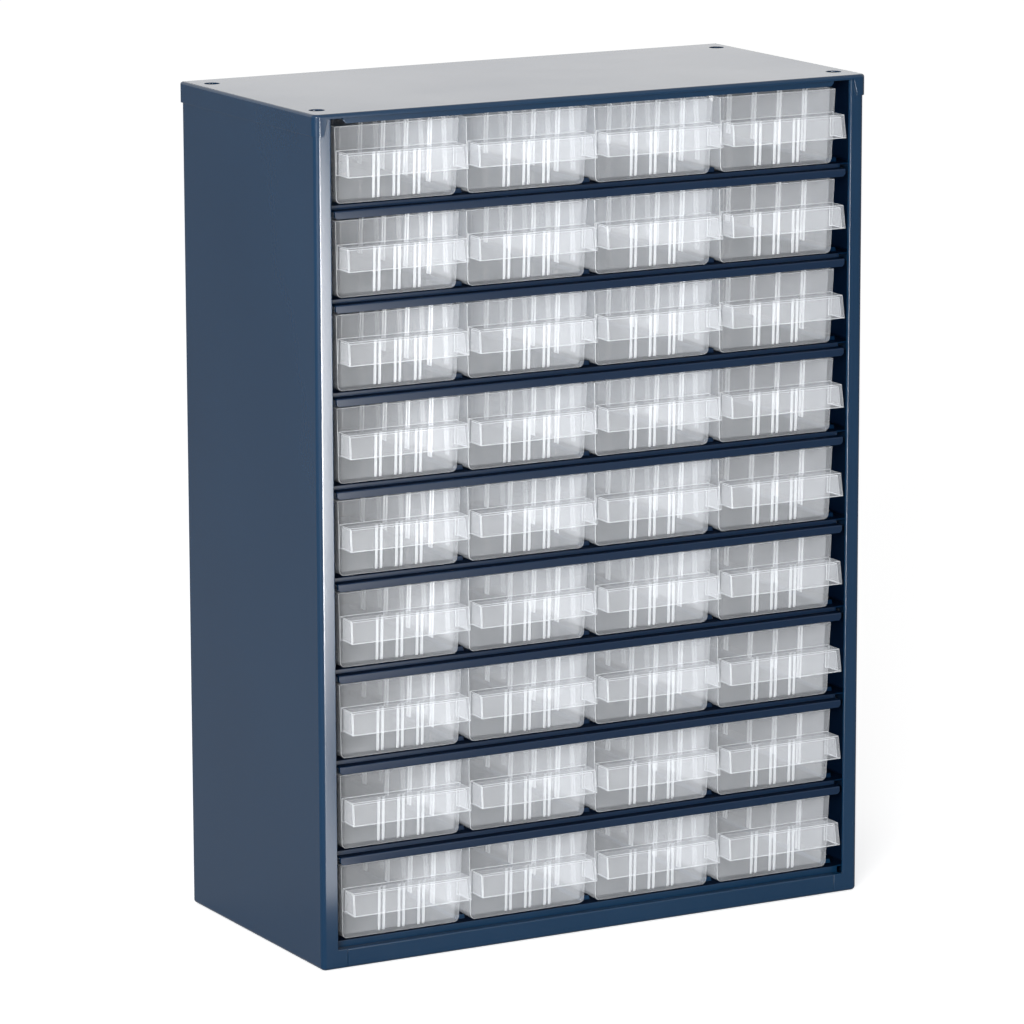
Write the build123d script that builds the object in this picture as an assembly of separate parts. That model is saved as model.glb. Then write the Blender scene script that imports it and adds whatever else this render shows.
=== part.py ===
from build123d import *
import math
import os

# Small-parts cabinet: a folded steel shell with shelves, full of tapered clear plastic drawers.
# Millimetres. X runs left to right, -Y is the front, +Z is up, and Z = 0 is the floor.

# Overall size
overall_width = 306.0
overall_depth = 150.0
overall_height = 417.0
hood_overhang = 6.0        # how far the drawer hoods stand out past the front flanges
sheet = 0.8                # steel thickness

# Shell: one sheet wrapped round the left side, the bottom and the right side
flange_width = 8.4         # front flange beside the drawers
hem_width = 5.0            # flange edge folded back on itself
rail_height = 9.7          # front rail along the bottom
rail_ledge = 4.8           # top of the rail turned inwards
corner_radius = 2.7        # upright front bends
floor_bend_radius = 2.0    # bends between the sides and the bottom
seam_width = 0.4           # open line where a side flange meets the rail
seam_inset = 13.7          # from the shell's side to that line
seam_depth = 0.4

# Top cap: a shallow tray upside down over the shell
skirt_height = 10.5
cap_corner_radius = 3.4
cap_edge_radius = 1.4
cap_face_height = 2.4      # plain front face
cap_lip_drop = 5.5         # from the top down to the lower edge of the set-back lip
cap_lip_setback = 2.5      # behind the front flanges
cap_lip_inset = 17.0       # from the cabinet's side to the lip's end
cap_lip_chamfer = 1.6
tab_top_width = 7.2        # corner tabs lapping on the front flanges
tab_foot_width = 5.4

# Holes for joining cabinets, and for screwing one to a wall
stack_hole_radius = 3.8
stack_hole_side = 9.5      # from the cabinet's side
stack_hole_end = 15.9      # from the cap's front and back
wall_hole_radius = 2.6
wall_hole_side = 8.0
wall_hole_low = 30.0
wall_hole_drop = 26.0      # below the top

# Back panel: a tray open to the rear, set in from the shell's rear edge
back_recess = 10.0

# Shelves
rows = 9
columns = 4
side_room = 12.0           # from the cabinet's side to the first column
base_room = 12.0           # height that isn't shared out between the rows
floor_deck_top = 12.5
nose_depth = 5.6           # from the front flanges back to the step up to the deck
step_height = 2.0
lip_height = 4.0
lip_setback = 0.4
lip_hem = 1.6
nose_inset = 2.0           # gap between a front flange and the end of a shelf's lip
nose_chamfer = 1.2
shelf_end_flange = 5.0
deck_front_gap = 1.0       # deck's own front edge, beside the nose, behind the step
guide_height = 2.2         # pressed beads that keep the drawers apart
guide_clearance = 0.4
guide_side_slope = 0.5
guide_start = 12.0         # behind the front flanges
guide_back_gap = 9.2       # in front of the back panel

# Drawers
drawer_gap = 4.0           # between drawers side by side, at the top
row_gap = 8.0              # row pitch less the drawer's height
drawer_recess = 5.8        # front wall's top, behind the front flanges
draft_angle = 2.0          # all four walls lean out towards the top
wall = 1.3
floor_thickness = 1.5
drawer_edge_radius = 2.8   # lower edges along the sides
drawer_corner_radius = 1.2 # all round the front wall and the back wall
inner_edge_radius = 1.4
slide_gap = 0.3            # under a drawer
back_gap = 0.5             # behind a closed drawer

# Drawer's pull: a hood across the front, open below
hood_inset = 1.25          # from the drawer's side, at the top
hood_drop = 11.6           # below the drawer's top
hood_height = 11.5
hood_top_reach = 9.2       # in front of the front wall's top
hood_wall = 1.2

# Ribs on a drawer
front_rib_pairs = 3
front_rib_spacing = 10.9
rib_pair_gap = 2.6
rib_width = 0.9
rib_height = 0.8
front_rib_foot = 2.0
divider_slots = 4          # pairs of ribs that hold a cross wall, along each side
divider_first = 26.0       # from the front wall's outside to the first pair
divider_last = 28.9        # from the last pair to the back wall's outside
divider_rib_foot = 3.2
divider_rib_short = 2.5    # below the drawer's top

# Places worked out from the sizes above
front = -overall_depth / 2 + hood_overhang
cap_front = front - sheet
cap_back = overall_depth / 2
shell_back = cap_back - sheet
shell_half = overall_width / 2 - sheet
inner_half = shell_half - sheet
stack_spacing_x = overall_width - 2 * stack_hole_side
stack_spacing_y = cap_back - cap_front - 2 * stack_hole_end
wall_spacing_x = overall_width - 2 * wall_hole_side
wall_hole_high = overall_height - wall_hole_drop
shell_top = overall_height - sheet
back_plate_front = shell_back - back_recess
row_pitch = (overall_height - base_room) / rows
column_pitch = (overall_width - 2 * side_room) / columns
drawer_width = column_pitch - drawer_gap
drawer_height = row_pitch - row_gap
drawer_bottom = floor_deck_top + slide_gap
draft = math.tan(math.radians(draft_angle))
drawer_front = front + drawer_recess
drawer_back = back_plate_front - back_gap
drawer_length = drawer_back - drawer_front
foot_width = drawer_width - 2 * draft * drawer_height
foot_length = drawer_length - 2 * draft * drawer_height
divider_pitch = (drawer_length - divider_first - divider_last) / (divider_slots - 1)
hood_width = drawer_width - 2 * hood_inset
hood_top = drawer_height - hood_drop
hood_foot = hood_top - hood_height
middle = (front + shell_back) / 2
stack_middle = (cap_front + cap_back) / 2


def block(x0, x1, y0, y1, z0, z1):
    """Box between two corners."""
    size = (x1 - x0, y1 - y0, z1 - z0)
    return Pos((x0 + x1) / 2, (y0 + y1) / 2, (z0 + z1) / 2) * Box(*size)


def prism_x(points, x0, x1):
    """Outline in Y and Z, carried along X."""
    outline = make_face(Polyline([(x0, y, z) for y, z in points], close=True))
    return extrude(outline, x1 - x0, dir=(1, 0, 0))


def prism_y(points, y0, y1):
    """Outline in X and Z, carried along Y."""
    outline = make_face(Polyline([(x, y0, z) for x, z in points], close=True))
    return extrude(outline, y1 - y0, dir=(0, 1, 0))


def edges_along(shape, axis, where):
    """Edges parallel to an axis whose middle passes a test."""
    return [edge for edge in shape.edges().filter_by(axis) if where(edge.center())]


def four_holes(radius, spacing_x, spacing_y, centre_y, z0, z1):
    drill = Cylinder(radius, z1 - z0)
    spots = [(sx * spacing_x / 2, centre_y + sy * spacing_y / 2) for sx in (-1, 1) for sy in (-1, 1)]
    return [Pos(x, y, (z0 + z1) / 2) * drill for x, y in spots]


def body_wrap():
    """Left side, bottom and right side in one folded sheet, with front flanges and rail."""
    flange_inner = shell_half - flange_width
    outer = block(-shell_half, shell_half, front, shell_back, 0, shell_top)
    outer = fillet(edges_along(outer, Axis.Z, lambda c: c.Y < middle), corner_radius)
    outer = fillet(edges_along(outer, Axis.Y, lambda c: c.Z < rail_height), floor_bend_radius)
    inner = block(-inner_half, inner_half, front + sheet, shell_back + sheet, sheet, shell_top + sheet)
    inner = fillet(edges_along(inner, Axis.Z, lambda c: c.Y < middle), corner_radius - sheet)
    shell = outer - inner
    shell -= block(-flange_inner, flange_inner, front - sheet, front + 2 * sheet,
                   rail_height, shell_top + sheet)
    for side in (-1, 1):
        edge, fold = side * flange_inner, side * (flange_inner + hem_width)
        shell += block(min(edge, fold), max(edge, fold), front + sheet, front + 2 * sheet,
                       sheet, shell_top)
        seam = side * (shell_half - seam_inset)
        shell -= block(seam - seam_width / 2, seam + seam_width / 2, front - sheet,
                       front + seam_depth, 0 - sheet, rail_height + sheet)
    shell += block(-flange_inner, flange_inner, front + sheet, front + rail_ledge,
                   rail_height - sheet, rail_height)
    shell -= four_holes(stack_hole_radius, stack_spacing_x, stack_spacing_y, stack_middle, -sheet, 2 * sheet)
    return shell


def top_cap():
    """Tray over the shell, with side skirts, corner tabs and a stepped front."""
    half = overall_width / 2
    skirt_foot = overall_height - skirt_height
    face_foot = overall_height - cap_face_height
    cap = block(-half, half, cap_front, cap_back, skirt_foot, overall_height)
    cap = fillet(edges_along(cap, Axis.Z, lambda c: c.Y < middle), cap_corner_radius)
    cap = fillet(cap.faces().sort_by(Axis.Z)[-1].edges(), cap_edge_radius)
    hollow = block(-shell_half, shell_half, front, shell_back, skirt_foot - sheet, shell_top)
    hollow = fillet(edges_along(hollow, Axis.Z, lambda c: c.Y < middle), corner_radius - sheet / 2)
    cap -= hollow
    mouth = [(tab_foot_width - half, skirt_foot - sheet), (half - tab_foot_width, skirt_foot - sheet),
             (half - tab_foot_width, skirt_foot), (half - tab_top_width, face_foot),
             (tab_top_width - half, face_foot), (tab_foot_width - half, skirt_foot)]
    cap -= prism_y(mouth, cap_front - sheet, front)
    lip_half = half - cap_lip_inset
    lip_front = front + cap_lip_setback
    lip_foot = overall_height - cap_lip_drop
    cap += block(-lip_half, lip_half, cap_front, lip_front, face_foot, face_foot + sheet)
    lip = [(-lip_half, face_foot + sheet), (-lip_half, lip_foot + cap_lip_chamfer),
           (cap_lip_chamfer - lip_half, lip_foot), (lip_half - cap_lip_chamfer, lip_foot),
           (lip_half, lip_foot + cap_lip_chamfer), (lip_half, face_foot + sheet)]
    cap += prism_y(lip, lip_front, lip_front + sheet)
    cap -= four_holes(stack_hole_radius, stack_spacing_x, stack_spacing_y, stack_middle,
                      shell_top - sheet, overall_height + sheet)
    return cap


def back_panel():
    """Plate behind the drawers with its edges turned to the rear."""
    panel = block(-inner_half, inner_half, back_plate_front, shell_back, sheet, shell_top)
    panel -= block(sheet - inner_half, inner_half - sheet, back_plate_front + sheet, shell_back + sheet,
                   2 * sheet, shell_top - sheet)
    drill = Rot(90, 0, 0) * Cylinder(wall_hole_radius, 4 * sheet)
    for x in (-wall_spacing_x / 2, wall_spacing_x / 2):
        for z in (wall_hole_low, wall_hole_high):
            panel -= Pos(x, back_plate_front, z) * drill
    return panel


def guides(deck_top):
    """Beads pressed up between the drawers, hollow below."""
    half = (column_pitch - foot_width) / 2 - guide_clearance
    top_half = half - guide_side_slope
    solid, hollow = [], []
    for number in range(columns + 1):
        x = (number - columns / 2) * column_pitch
        bead = [(x - half, deck_top), (x - top_half, deck_top + guide_height),
                (x + top_half, deck_top + guide_height), (x + half, deck_top)]
        groove = [(x - half + sheet, deck_top - 2 * sheet), (x - half + sheet, deck_top - sheet),
                  (x - top_half + sheet, deck_top + guide_height - sheet),
                  (x + top_half - sheet, deck_top + guide_height - sheet),
                  (x + half - sheet, deck_top - sheet), (x + half - sheet, deck_top - 2 * sheet)]
        start, end = front + guide_start, back_plate_front - guide_back_gap
        solid.append(prism_y(bead, start, end))
        hollow.append(prism_y(groove, start + sheet, end - sheet))
    return solid, hollow


def deck(deck_top, flange):
    """Plate between the sides with its ends and back turned down."""
    start = front + nose_depth + deck_front_gap
    foot = deck_top - sheet - flange
    plate = block(-inner_half, inner_half, start, back_plate_front, deck_top - sheet, deck_top)
    for side in (-1, 1):
        edge, inside = side * inner_half, side * (inner_half - sheet)
        plate += block(min(edge, inside), max(edge, inside), start, back_plate_front, foot, deck_top)
    plate += block(-inner_half, inner_half, back_plate_front - sheet, back_plate_front, foot, deck_top)
    solid, hollow = guides(deck_top)
    return plate + solid - hollow


def floor_deck():
    """Deck under the lowest drawers, standing on the shell's bottom behind the rail."""
    flange = floor_deck_top - 2 * sheet
    tray = deck(floor_deck_top, flange)
    reach = shell_half - flange_width
    riser = front + nose_depth
    tray += block(-reach, reach, riser, riser + sheet, sheet, floor_deck_top)
    tray += block(-reach, reach, riser, riser + 2 * deck_front_gap, floor_deck_top - sheet, floor_deck_top)
    return tray


def shelf(deck_top):
    """Deck with a nose: a step down, a narrow ledge and a hemmed lip."""
    plate = deck(deck_top, shelf_end_flange)
    riser = front + nose_depth
    face = front + lip_setback
    ledge = deck_top - step_height
    nose = [(riser + 2 * deck_front_gap, deck_top), (riser, deck_top), (riser, ledge), (face, ledge),
            (face, ledge - lip_height), (face + lip_hem, ledge - lip_height), (face + lip_hem, ledge - sheet),
            (riser + sheet, ledge - sheet), (riser + sheet, deck_top - sheet),
            (riser + 2 * deck_front_gap, deck_top - sheet)]
    reach = shell_half - flange_width - nose_inset
    strip = prism_x(nose, -reach, reach)
    foot_corners = edges_along(strip, Axis.Y, lambda c: c.Z < ledge - lip_height + sheet)
    strip = chamfer(foot_corners, nose_chamfer)
    return plate + strip


def tapered_block(width, length, height, upright_radius):
    """Box that widens upwards on all four sides, standing on Z = 0 with its centre over the origin."""
    base = RectangleRounded(width, length, upright_radius)
    return extrude(base, height, taper=-draft_angle)


def drawer():
    """One open drawer. Its bottom is at Z = 0, and X = 0 and Y = 0 are at the middle of its front wall's top."""
    outer = extrude(Rectangle(foot_width, foot_length), drawer_height, taper=-draft_angle)
    outer = fillet(outer.faces().sort_by(Axis.Z)[0].edges().filter_by(Axis.Y), drawer_edge_radius)
    for end in (outer.faces().sort_by(Axis.Y)[0], outer.faces().sort_by(Axis.Y)[-1]):
        rim = end.edges().sort_by(Axis.Z)[-1]
        outer = fillet([edge for edge in end.edges() if edge != rim], drawer_corner_radius)
    lift = floor_thickness
    pocket_width = foot_width - 2 * wall + 2 * draft * lift
    pocket_length = foot_length - 2 * wall + 2 * draft * lift
    pocket = tapered_block(pocket_width, pocket_length, drawer_height, inner_edge_radius)
    pocket = fillet(pocket.faces().sort_by(Axis.Z)[0].edges(), inner_edge_radius)
    box = outer - Pos(0, 0, lift) * pocket
    box = Pos(0, drawer_length / 2, 0) * box
    return box + hood() + front_ribs() + divider_ribs()


def front_face_at(z):
    """Y of the front wall's outside at a height above the drawer's bottom."""
    return draft * (drawer_height - z)


def hood():
    """Pull across the front: a top, a leaning face and two cheeks, open below."""
    foot_reach = drawer_recess + hood_overhang
    root_top, root_foot = front_face_at(hood_top) + wall / 2, front_face_at(hood_foot) + wall / 2
    outline = [(root_top, hood_top), (-hood_top_reach, hood_top), (-foot_reach, hood_foot), (root_foot, hood_foot)]
    lean = (foot_reach - hood_top_reach) / (hood_top - hood_foot)
    inside_top = hood_top - hood_wall
    cavity_front_top = -hood_top_reach - lean * hood_wall + hood_wall
    cavity = [(root_top + wall, inside_top), (cavity_front_top, inside_top),
              (hood_wall - foot_reach - lean * hood_wall, hood_foot - hood_wall),
              (root_foot + wall, hood_foot - hood_wall)]
    half = hood_width / 2
    return prism_x(outline, -half, half) - prism_x(cavity, hood_wall - half, half - hood_wall)


def front_ribs():
    """Pairs of upright ribs on the front wall, from under the hood down to the bottom."""
    ribs = []
    top = hood_top - hood_wall / 2
    for pair in range(front_rib_pairs):
        for side in (-1, 1):
            x = (pair - (front_rib_pairs - 1) / 2) * front_rib_spacing + side * rib_pair_gap / 2
            outline = [(front_face_at(top) + wall / 2, top), (front_face_at(top) - rib_height, top),
                       (front_face_at(front_rib_foot) - rib_height, front_rib_foot + rib_height),
                       (front_face_at(front_rib_foot), front_rib_foot),
                       (front_face_at(front_rib_foot) + wall / 2, front_rib_foot)]
            ribs.append(prism_x(outline, x - rib_width / 2, x + rib_width / 2))
    return ribs


def side_face_at(z):
    """X of a long wall's inside at a height above the drawer's bottom."""
    return drawer_width / 2 - draft * (drawer_height - z) - wall


def divider_ribs():
    """Pairs of upright ribs inside both long walls, where a cross wall slots in."""
    ribs = []
    top = drawer_height - divider_rib_short
    for slot in range(divider_slots):
        for step in (-1, 1):
            y = divider_first + slot * divider_pitch + step * rib_pair_gap / 2
            for side in (-1, 1):
                outline = [(side_face_at(top) + wall / 2, top), (side_face_at(top), top),
                           (side_face_at(top - rib_height) - rib_height, top - rib_height),
                           (side_face_at(divider_rib_foot) - rib_height, divider_rib_foot),
                           (side_face_at(divider_rib_foot) + wall / 2, divider_rib_foot)]
                outline = [(side * x, z) for x, z in outline]
                ribs.append(prism_y(outline, y - rib_width / 2, y + rib_width / 2))
    return ribs


def save(shape, node):
    export_step(shape, f"parts/{node}.step")


os.makedirs("parts", exist_ok=True)
save(body_wrap(), "body_wrap")
save(top_cap(), "top_cap")
save(back_panel(), "back_panel")
save(floor_deck(), "floor_deck")
first_shelf = shelf(floor_deck_top + row_pitch)
for level in range(1, rows):
    save(Pos(0, 0, (level - 1) * row_pitch) * first_shelf, f"shelf_{level}")
one_drawer = drawer()
for row in range(1, rows + 1):
    for column in range(1, columns + 1):
        place = Pos((column - (columns + 1) / 2) * column_pitch, drawer_front,
                    drawer_bottom + (rows - row) * row_pitch)
        save(place * one_drawer, f"drawer_row{row}_col{column}")
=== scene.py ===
import math

import bmesh
import bpy
from mathutils import Matrix, Vector


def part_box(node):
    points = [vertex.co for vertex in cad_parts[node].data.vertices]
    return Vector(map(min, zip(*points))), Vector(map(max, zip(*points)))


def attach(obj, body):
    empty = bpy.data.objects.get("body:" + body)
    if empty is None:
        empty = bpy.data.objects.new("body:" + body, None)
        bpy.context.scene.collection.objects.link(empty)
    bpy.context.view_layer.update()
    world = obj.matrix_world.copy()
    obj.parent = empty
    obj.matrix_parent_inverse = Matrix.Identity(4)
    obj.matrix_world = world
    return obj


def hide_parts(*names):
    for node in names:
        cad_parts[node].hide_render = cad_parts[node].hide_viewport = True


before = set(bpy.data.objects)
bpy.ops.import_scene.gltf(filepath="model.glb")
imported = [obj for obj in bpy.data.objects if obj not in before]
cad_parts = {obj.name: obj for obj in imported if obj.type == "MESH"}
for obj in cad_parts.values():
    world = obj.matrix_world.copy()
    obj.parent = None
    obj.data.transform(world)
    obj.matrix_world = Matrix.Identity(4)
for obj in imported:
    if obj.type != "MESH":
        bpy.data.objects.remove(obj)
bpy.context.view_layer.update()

millimetres = 1000.0
drawerNodes = sorted(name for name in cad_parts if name.startswith("drawer_"))
steelNodes = sorted(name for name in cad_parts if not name.startswith("drawer_"))
print("frame loaded:", len(steelNodes), "steel nodes and", len(drawerNodes), "drawers")


class Wire:
    # one output of a shader node; sums and products of wires add Math nodes
    def __init__(self, tree, socket=None):
        self.tree = tree
        self.socket = socket

    def node(self, kind, settings=None, sockets=None, output=0):
        made = self.tree.nodes.new("ShaderNode" + kind)
        for name, value in (settings or {}).items():
            setattr(made, name, value)
        for name, value in (sockets or {}).items():
            if isinstance(value, Wire):
                self.tree.links.new(value.socket, made.inputs[name])
            else:
                made.inputs[name].default_value = value
        return Wire(self.tree, made.outputs[output] if made.outputs else None)

    def math(self, operation, first, second):
        return self.node("Math", {"operation": operation}, {0: first, 1: second})

    def __add__(self, other):
        return self.math("ADD", self, other)

    def __mul__(self, other):
        return self.math("MULTIPLY", self, other)

    def __rsub__(self, other):
        return self.math("SUBTRACT", other, self)

    __radd__ = __add__
    __rmul__ = __mul__


def newMaterial(name):
    material = bpy.data.materials.new(name)
    material.use_nodes = True
    material.node_tree.nodes.clear()
    return material, Wire(material.node_tree)


def finishMaterial(wire, shader):
    wire.node("OutputMaterial", None, {"Surface": shader})


paint = {
    "outer": {"colour": (0.002, 0.021, 0.055, 1.0), "thin": (0.004, 0.029, 0.071, 1.0),
              "roughness": 0.20, "ior": 1.36},
    # the lip coat: the same paint made darker, painted shade on the shelves
    "lip": {"colour": (0.001, 0.011, 0.034, 1.0), "thin": (0.002, 0.016, 0.045, 1.0),
            "roughness": 0.24, "ior": 1.30},
    # the inner coat: the same paint made much darker and duller, painted shade inside the cabinet and on the
    # ledges under the drawers
    "inner": {"colour": (0.001, 0.004, 0.013, 1.0), "thin": (0.001, 0.006, 0.018, 1.0),
              "roughness": 0.55, "ior": 1.08},
    "driftScale": 9.0,
    "glossDrift": 0.10,
    "orangePeel": 520.0,
    "peelDepth": 0.000012,
    "peelStrength": 0.6,
}


def steelPaint(name, part):
    # stoved gloss paint: faint orange peel, slow drifts of colour and gloss; the lip and inner coats are this
    # paint made darker, as painted shade
    coat = paint[part]
    material, wire = newMaterial(name)
    place = wire.node("TexCoord", output="Object")
    drift = wire.node("TexNoise", None, {"Vector": place, "Scale": paint["driftScale"], "Detail": 3.0})
    peel = wire.node("TexNoise", None, {"Vector": place, "Scale": paint["orangePeel"], "Detail": 2.0})
    colour = wire.node("Mix", {"data_type": "RGBA"}, {0: drift, 6: coat["colour"], 7: coat["thin"]}, output=2)
    bump = wire.node("Bump", None, {
        "Height": peel,
        "Distance": paint["peelDepth"],
        "Strength": paint["peelStrength"],
    })
    finishMaterial(wire, wire.node("BsdfPrincipled", None, {
        "Base Color": colour,
        "Roughness": drift * paint["glossDrift"] + (coat["roughness"] - paint["glossDrift"] / 2),
        "IOR": coat["ior"],
        "Normal": bump,
    }))
    return material


plastic = {
    "colour": (0.92, 0.95, 0.99, 1.0),
    "roughness": 0.16,
    "ior": 1.50,
    "wallHaze": 0.035,
    "grazingHaze": 0.40,
    # the edge plastic is cloudier, so whiter: a painted highlight along rounded edges, ribs and the rim
    "edgeHighlightHaze": 0.44,
    "edgeHighlightGrazingHaze": 0.2,
    "grazingBlend": 0.35,
    "flowScale": 60.0,
    "flowHaze": 0.05,
    "flowRoughness": 0.08,
    "lightLetThrough": 0.85,
}


def clearPlastic(name, haze, grazing):
    # moulded clear plastic, slightly milky, cloudier where it is seen edge on; it casts little shade
    material, wire = newMaterial(name)
    place = wire.node("TexCoord", output="Object")
    flow = wire.node("TexNoise", None, {"Vector": place, "Scale": plastic["flowScale"], "Detail": 2.0})
    facing = wire.node("LayerWeight", None, {"Blend": plastic["grazingBlend"]}, output="Facing")
    shadow = wire.node("LightPath", output="Is Shadow Ray")
    cloud = flow * plastic["flowHaze"] + facing * grazing + haze
    finishMaterial(wire, wire.node("BsdfPrincipled", None, {
        "Base Color": plastic["colour"],
        "Roughness": flow * plastic["flowRoughness"] + plastic["roughness"],
        "IOR": plastic["ior"],
        "Alpha": cloud * (1.0 - shadow * plastic["lightLetThrough"]),
    }))
    return material


outerPaint = steelPaint("darkBluePaint", "outer")
# the lip coat is painted shade on the shelves
lipPaintedShade = steelPaint("darkBlueLipPaintedShade", "lip")
# the inner coat is painted shade
innerPaintedShade = steelPaint("darkBlueInnerPaintedShade", "inner")
milkyWall = clearPlastic("milkyClearPlastic", plastic["wallHaze"], plastic["grazingHaze"])
# cloudier plastic on edges, ribs and the rim is a painted highlight
paintedEdgeHighlight = clearPlastic("paintedEdgeHighlightPlastic", plastic["edgeHighlightHaze"], plastic["edgeHighlightGrazingHaze"])
print("finishes ready")


# metres and degrees
shaping = {"mergeWithin": 0.000002, "flatWithin": 0.6, "sharpOver": 42.0, "smoothUnder": 50.0}


def mergedShape(nodeName):
    # a copy of a CAD node's loose triangles, joined up into flat faces
    shape = bmesh.new()
    shape.from_mesh(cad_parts[nodeName].data)
    bmesh.ops.remove_doubles(shape, verts=shape.verts, dist=shaping["mergeWithin"])
    bmesh.ops.dissolve_limit(shape, angle_limit=math.radians(shaping["flatWithin"]),
                             verts=shape.verts, edges=shape.edges)
    return shape


def roundEdges(shape, chosen, width, steps):
    rounded = bmesh.ops.bevel(shape, geom=chosen, offset=width, offset_type="OFFSET", segments=steps,
                              profile=0.5, affect="EDGES", material=-1, clamp_overlap=False)
    return rounded["faces"]


def sharpEdges(shape, test=None):
    # the test gets each edge's middle in millimetres
    chosen = []
    for edge in shape.edges:
        if len(edge.link_faces) == 2 and edge.calc_face_angle(0.0) > math.radians(shaping["sharpOver"]):
            middle = (edge.verts[0].co + edge.verts[1].co) * (millimetres / 2)
            if test is None or test(middle, edge):
                chosen.append(edge)
    return chosen


def runsAlong(edge, axis):
    return abs((edge.verts[1].co - edge.verts[0].co).normalized()[axis]) > 0.99


def placePiece(shape, name, materials, body, node):
    mesh = bpy.data.meshes.new(name)
    shape.to_mesh(mesh)
    for material in materials:
        mesh.materials.append(material)
    mesh.shade_smooth()
    mesh.set_sharp_from_angle(angle=math.radians(shaping["smoothUnder"]))
    piece = bpy.data.objects.new(name, mesh)
    bpy.context.scene.collection.objects.link(piece)
    piece.modifiers.new("flatFacesStayFlat", "WEIGHTED_NORMAL").keep_sharp = True
    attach(piece, body)
    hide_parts(node)


# metres, but for the three places in millimetres that edges are found by
fold = {
    "bend": 0.00075,
    "cut": 0.00022,
    "longEdge": 0.05,
    "shelfFrontMm": -67.9,
    "shellFrontMm": -68.9,
    "hemEdgeMm": 143.8,
    "flangeLean": 0.00060,
    "leanFrom": -0.1495,
    "leanOver": 0.0057,
    "leanPast": (-0.1430, -0.0670, 0.0105),
    "innerPast": -0.060,
}


def leanFlange(shape):
    # the left front flange turns a little to the light
    pastX, pastY, pastZ = fold["leanPast"]
    for vert in shape.verts:
        if vert.co.x < pastX and vert.co.y < pastY and vert.co.z > pastZ:
            reach = min(max((vert.co.x - fold["leanFrom"]) / fold["leanOver"], 0.0), 1.0)
            vert.co.y -= fold["flangeLean"] * reach


def foldedSteel(nodeName):
    # bends get a real radius, cut edges only lose their sharpness
    shape = mergedShape(nodeName)
    isShelf = nodeName.startswith("shelf")
    isShell = nodeName == "body_wrap"
    frontMm = fold["shelfFrontMm"] if isShelf else fold["shellFrontMm"]

    def isLevelBend(middle, edge):
        return middle.y < frontMm and runsAlong(edge, 0) and edge.calc_length() > fold["longEdge"]

    def isHemBend(middle, edge):
        return middle.y < frontMm and runsAlong(edge, 2) and abs(abs(middle.x) - fold["hemEdgeMm"]) < 0.1

    if isShelf:
        bends = sharpEdges(shape, isLevelBend)
        top = max(edge.verts[0].co.z for edge in bends)
        roundEdges(shape, [edge for edge in bends if edge.verts[0].co.z > top - 0.0002], fold["bend"], 3)
    if isShell:
        roundEdges(shape, sharpEdges(shape, isLevelBend) + sharpEdges(shape, isHemBend), fold["bend"], 3)
    roundEdges(shape, sharpEdges(shape), fold["cut"], 2)
    if isShell:
        leanFlange(shape)
    # ledges under the drawers and the inner side walls take the inner coat, which is painted shade
    for face in shape.faces:
        middle = face.calc_center_median()
        isShadedLedge = face.normal.z > 0.8 and (isShelf or nodeName == "floor_deck")
        facesIn = face.normal.x * math.copysign(1.0, middle.x) < -0.8
        isShadedInnerWall = facesIn and isShell and middle.y > fold["innerPast"]
        if isShadedLedge or isShadedInnerWall:
            face.material_index = 1
    # shelves take the lip coat, painted shade, and the rest the outer paint
    coats = [lipPaintedShade if isShelf else outerPaint, innerPaintedShade]
    placePiece(shape, "painted_" + nodeName, coats, "cabinet", nodeName)
    shape.free()


for nodeName in steelNodes:
    foldedSteel(nodeName)
print("steel pieces ready")


# the first three in metres, the rest in millimetres
drawer = {
    "edge": 0.00022,
    "hoodSpread": 0.0004,
    "hoodFill": 0.0010,
    "hoodDepth": 11.8,
    "hoodFoot": 13.9,
    "hoodHeight": 11.5,
    "hoodOut": 8.0,
    "cheekPast": 30.0,
    "height": 37.0,
    "halfWidth": 33.25,
    "wall": 1.3,
    "leanPerMm": 0.0349,
    "ribHalf": 0.6,
    "frontRibs": [middle + side for middle in (-10.9, 0.0, 10.9) for side in (-1.3, 1.3)],
    "frontRibsFrom": 1.9,
    "frontRibsTo": 24.4,
    "dividerRibs": [middle + side for middle in (26.0, 50.0, 74.0, 98.0) for side in (-1.3, 1.3)],
    "dividerRibsFrom": 3.0,
    "dividerRibsTo": 35.0,
}


def fillHood(shape, start):
    # the pull's face swells a little and its cheeks spread towards the foot
    for vert in shape.verts:
        spot = (vert.co - start) * millimetres
        height = min(max((spot.z - drawer["hoodFoot"]) / drawer["hoodHeight"], 0.0), 1.0)
        if spot.y < -0.9 and spot.z > 13.0:
            reach = min(-spot.y / drawer["hoodOut"], 1.0)
            vert.co.y -= drawer["hoodFill"] * height * reach
            if abs(spot.x) > drawer["cheekPast"]:
                vert.co.x += math.copysign(drawer["hoodSpread"] * (1.0 - height) * reach, spot.x)


def isRib(face, spot):
    # rib faces stand just in front of the front wall, or just inside a side wall
    wallFront = (drawer["height"] - spot.z) * drawer["leanPerMm"]
    wallSide = drawer["halfWidth"] - drawer["wall"] - wallFront
    across = [vert.co.x * millimetres for vert in face.verts]
    narrow = max(across) - min(across) < 2 * drawer["ribHalf"]
    onFront = narrow and -0.95 < spot.y - wallFront < -0.05
    if onFront and drawer["frontRibsFrom"] < spot.z < drawer["frontRibsTo"]:
        if min(abs(spot.x - x) for x in drawer["frontRibs"]) < drawer["ribHalf"]:
            return True
    onSide = -1.0 < abs(spot.x) - wallSide < -0.05
    if onSide and drawer["dividerRibsFrom"] < spot.z < drawer["dividerRibsTo"]:
        return min(abs(spot.y - y) for y in drawer["dividerRibs"]) < drawer["ribHalf"]
    return False


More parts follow.
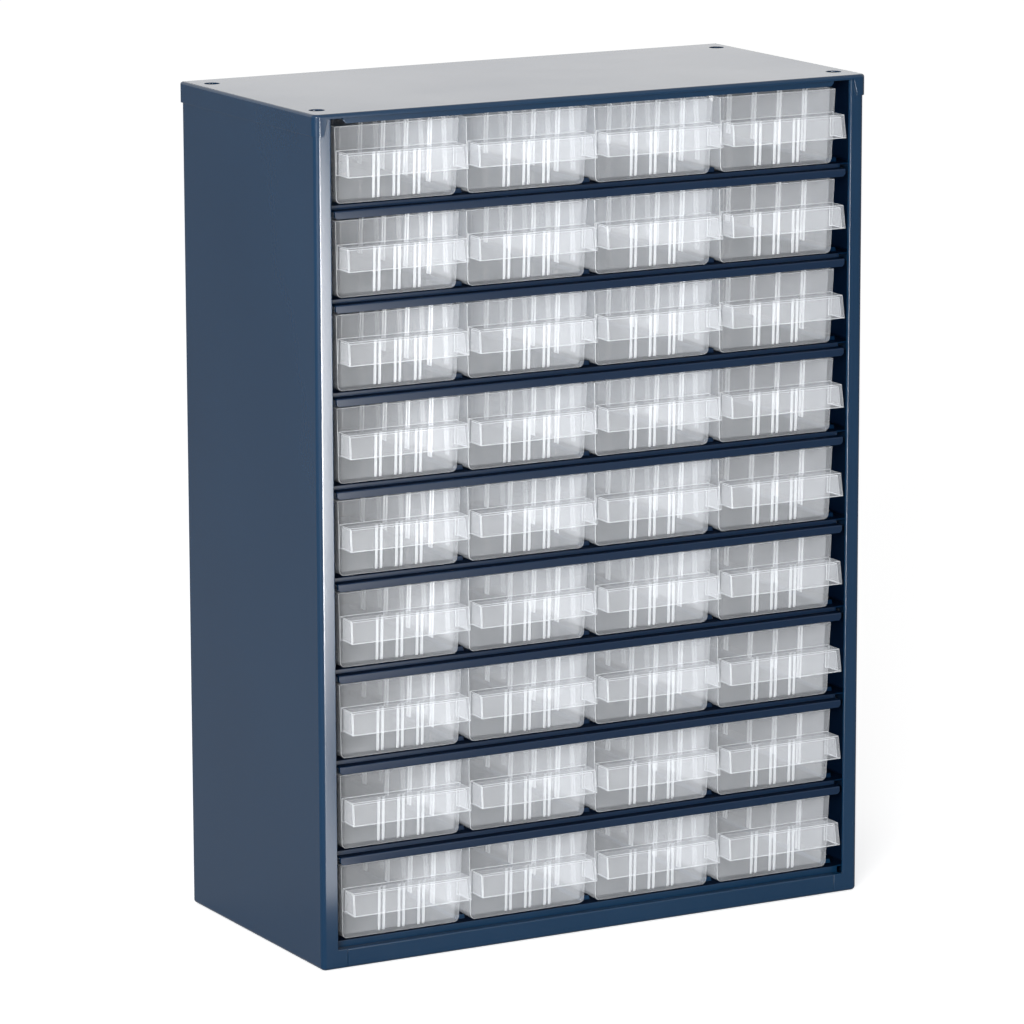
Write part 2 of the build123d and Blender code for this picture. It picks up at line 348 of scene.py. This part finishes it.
def drawerShape(nodeName):
    # places are measured from the middle of the front wall's top edge, and up from the bottom
    shape = mergedShape(nodeName)
    low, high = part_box(nodeName)
    start = Vector(((low[0] + high[0]) / 2, low[1] + drawer["hoodDepth"] / millimetres, low[2]))
    rounded = set(roundEdges(shape, sharpEdges(shape), drawer["edge"], 2))
    fillHood(shape, start)
    # rounded edges, ribs and the top rim take the cloudier edge plastic, a painted highlight
    for face in shape.faces:
        spot = (face.calc_center_median() - start) * millimetres
        if face in rounded or isRib(face, spot) or spot.z > drawer["height"] - 0.1:
            face.material_index = 1
    return shape


firstDrawer = drawerNodes[0]
firstLow = Vector(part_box(firstDrawer)[0])
moulded = drawerShape(firstDrawer)
print("drawer has", len(moulded.faces), "faces")
for nodeName in drawerNodes:
    shape = moulded.copy()
    bmesh.ops.translate(shape, verts=shape.verts, vec=Vector(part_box(nodeName)[0]) - firstLow)
    body = nodeName.replace("drawer_", "tray_")
    placePiece(shape, "clear_" + nodeName, [milkyWall, paintedEdgeHighlight], body, nodeName)
    shape.free()
moulded.free()
print("drawers ready")


studio = {
    "floor": {"size": 6.0, "drop": 0.0002, "colour": (0.80, 0.80, 0.80, 1.0),
              "roughness": 0.9, "glow": 0.6},
    "world": 0.50,
    "mirrored": 0.34,
    "key": {"place": (-1.9, -2.1, 0.75), "aim": (0.0, 0.0, 0.2), "size": (1.2, 0.8), "power": 88.0},
    "edge": {"place": (0.03, -0.75, 0.14), "aim": (-0.15, -0.07, 0.22), "size": (0.08, 0.30), "power": 13.0},
    "foot": {"place": (-0.046, -0.466, 0.002), "turn": (math.pi, 0.0, 0.251), "size": (0.09, 0.58),
             "power": 1.6},
}


def paleFloor(values):
    mesh = bpy.data.meshes.new("paleFloor")
    shape = bmesh.new()
    bmesh.ops.create_grid(shape, x_segments=1, y_segments=1, size=values["size"])
    bmesh.ops.translate(shape, verts=shape.verts, vec=(0.0, 0.0, -values["drop"]))
    shape.to_mesh(mesh)
    shape.free()
    floor = bpy.data.objects.new("paleFloor", mesh)
    bpy.context.scene.collection.objects.link(floor)
    material, wire = newMaterial("paleFloorPaint")
    seen = wire.node("LightPath", output="Is Camera Ray")
    through = wire.node("LightPath", output="Is Transmission Ray")
    shown = wire.math("MAXIMUM", seen, through)
    finishMaterial(wire, wire.node("BsdfPrincipled", None, {
        "Base Color": values["colour"],
        "Roughness": values["roughness"],
        "Specular IOR Level": 0.0,
        "Emission Color": (1.0, 1.0, 1.0, 1.0),
        "Emission Strength": shown * values["glow"],
    }))
    mesh.materials.append(material)


def softLight(name, values):
    data = bpy.data.lights.new(name, "AREA")
    data.shape = "RECTANGLE"
    data.size, data.size_y = values["size"]
    data.energy = values["power"]
    lamp = bpy.data.objects.new(name, data)
    lamp.location = values["place"]
    if "turn" in values:
        lamp.rotation_euler = values["turn"]
    else:
        towards = Vector(values["aim"]) - Vector(values["place"])
        lamp.rotation_euler = towards.to_track_quat("-Z", "Y").to_euler()
    bpy.context.scene.collection.objects.link(lamp)
    return lamp


def studioWorld():
    world = bpy.data.worlds.new("studioWorld")
    world.use_nodes = True
    world.node_tree.nodes.clear()
    wire = Wire(world.node_tree)
    seen = wire.node("LightPath", output="Is Camera Ray")
    mirrored = wire.node("LightPath", output="Is Glossy Ray")
    through = wire.node("LightPath", output="Is Transmission Ray")
    shown = wire.math("MAXIMUM", wire.math("MAXIMUM", seen, mirrored), through)
    glow = wire.node("Background", None, {
        "Color": (1.0, 1.0, 1.0, 1.0),
        "Strength": shown * (1.0 - studio["world"]) + mirrored * studio["mirrored"] + studio["world"],
    })
    wire.node("OutputWorld", None, {"Surface": glow})
    bpy.context.scene.world = world


camera = {
    "place": (-1.3584, -2.4511, 0.7771),
    "yaw": 28.829,
    "pitch": 11.652,
    "roll": -0.157,
    "lens": 201.49,
    "sensor": 36.0,
    "sees": 50.0,
}


def placeCamera():
    data = bpy.data.cameras.new("camera")
    data.lens = camera["lens"]
    data.sensor_width = camera["sensor"]
    data.clip_end = camera["sees"]
    made = bpy.data.objects.new("camera", data)
    turn = Matrix.Rotation(math.radians(-camera["yaw"]), 4, "Z")
    turn = turn @ Matrix.Rotation(math.radians(90.0 - camera["pitch"]), 4, "X")
    turn = turn @ Matrix.Rotation(math.radians(camera["roll"]), 4, "Z")
    made.matrix_world = Matrix.Translation(camera["place"]) @ turn
    bpy.context.scene.collection.objects.link(made)
    bpy.context.scene.camera = made


paleFloor(studio["floor"])
studioWorld()
softLight("keyLight", studio["key"])
# strips that only show as a gleam on the left front flange
for name in ("edge", "foot"):
    strip = softLight(name + "Light", studio[name])
    strip.visible_diffuse = False
    strip.visible_camera = False
placeCamera()
bpy.context.scene.view_settings.view_transform = "Standard"
# a line of sight passes up to 12 clear faces, light along a row up to 22, and the usual limit is 8
bpy.context.scene.cycles.transparent_max_bounces = 40
print("studio ready")
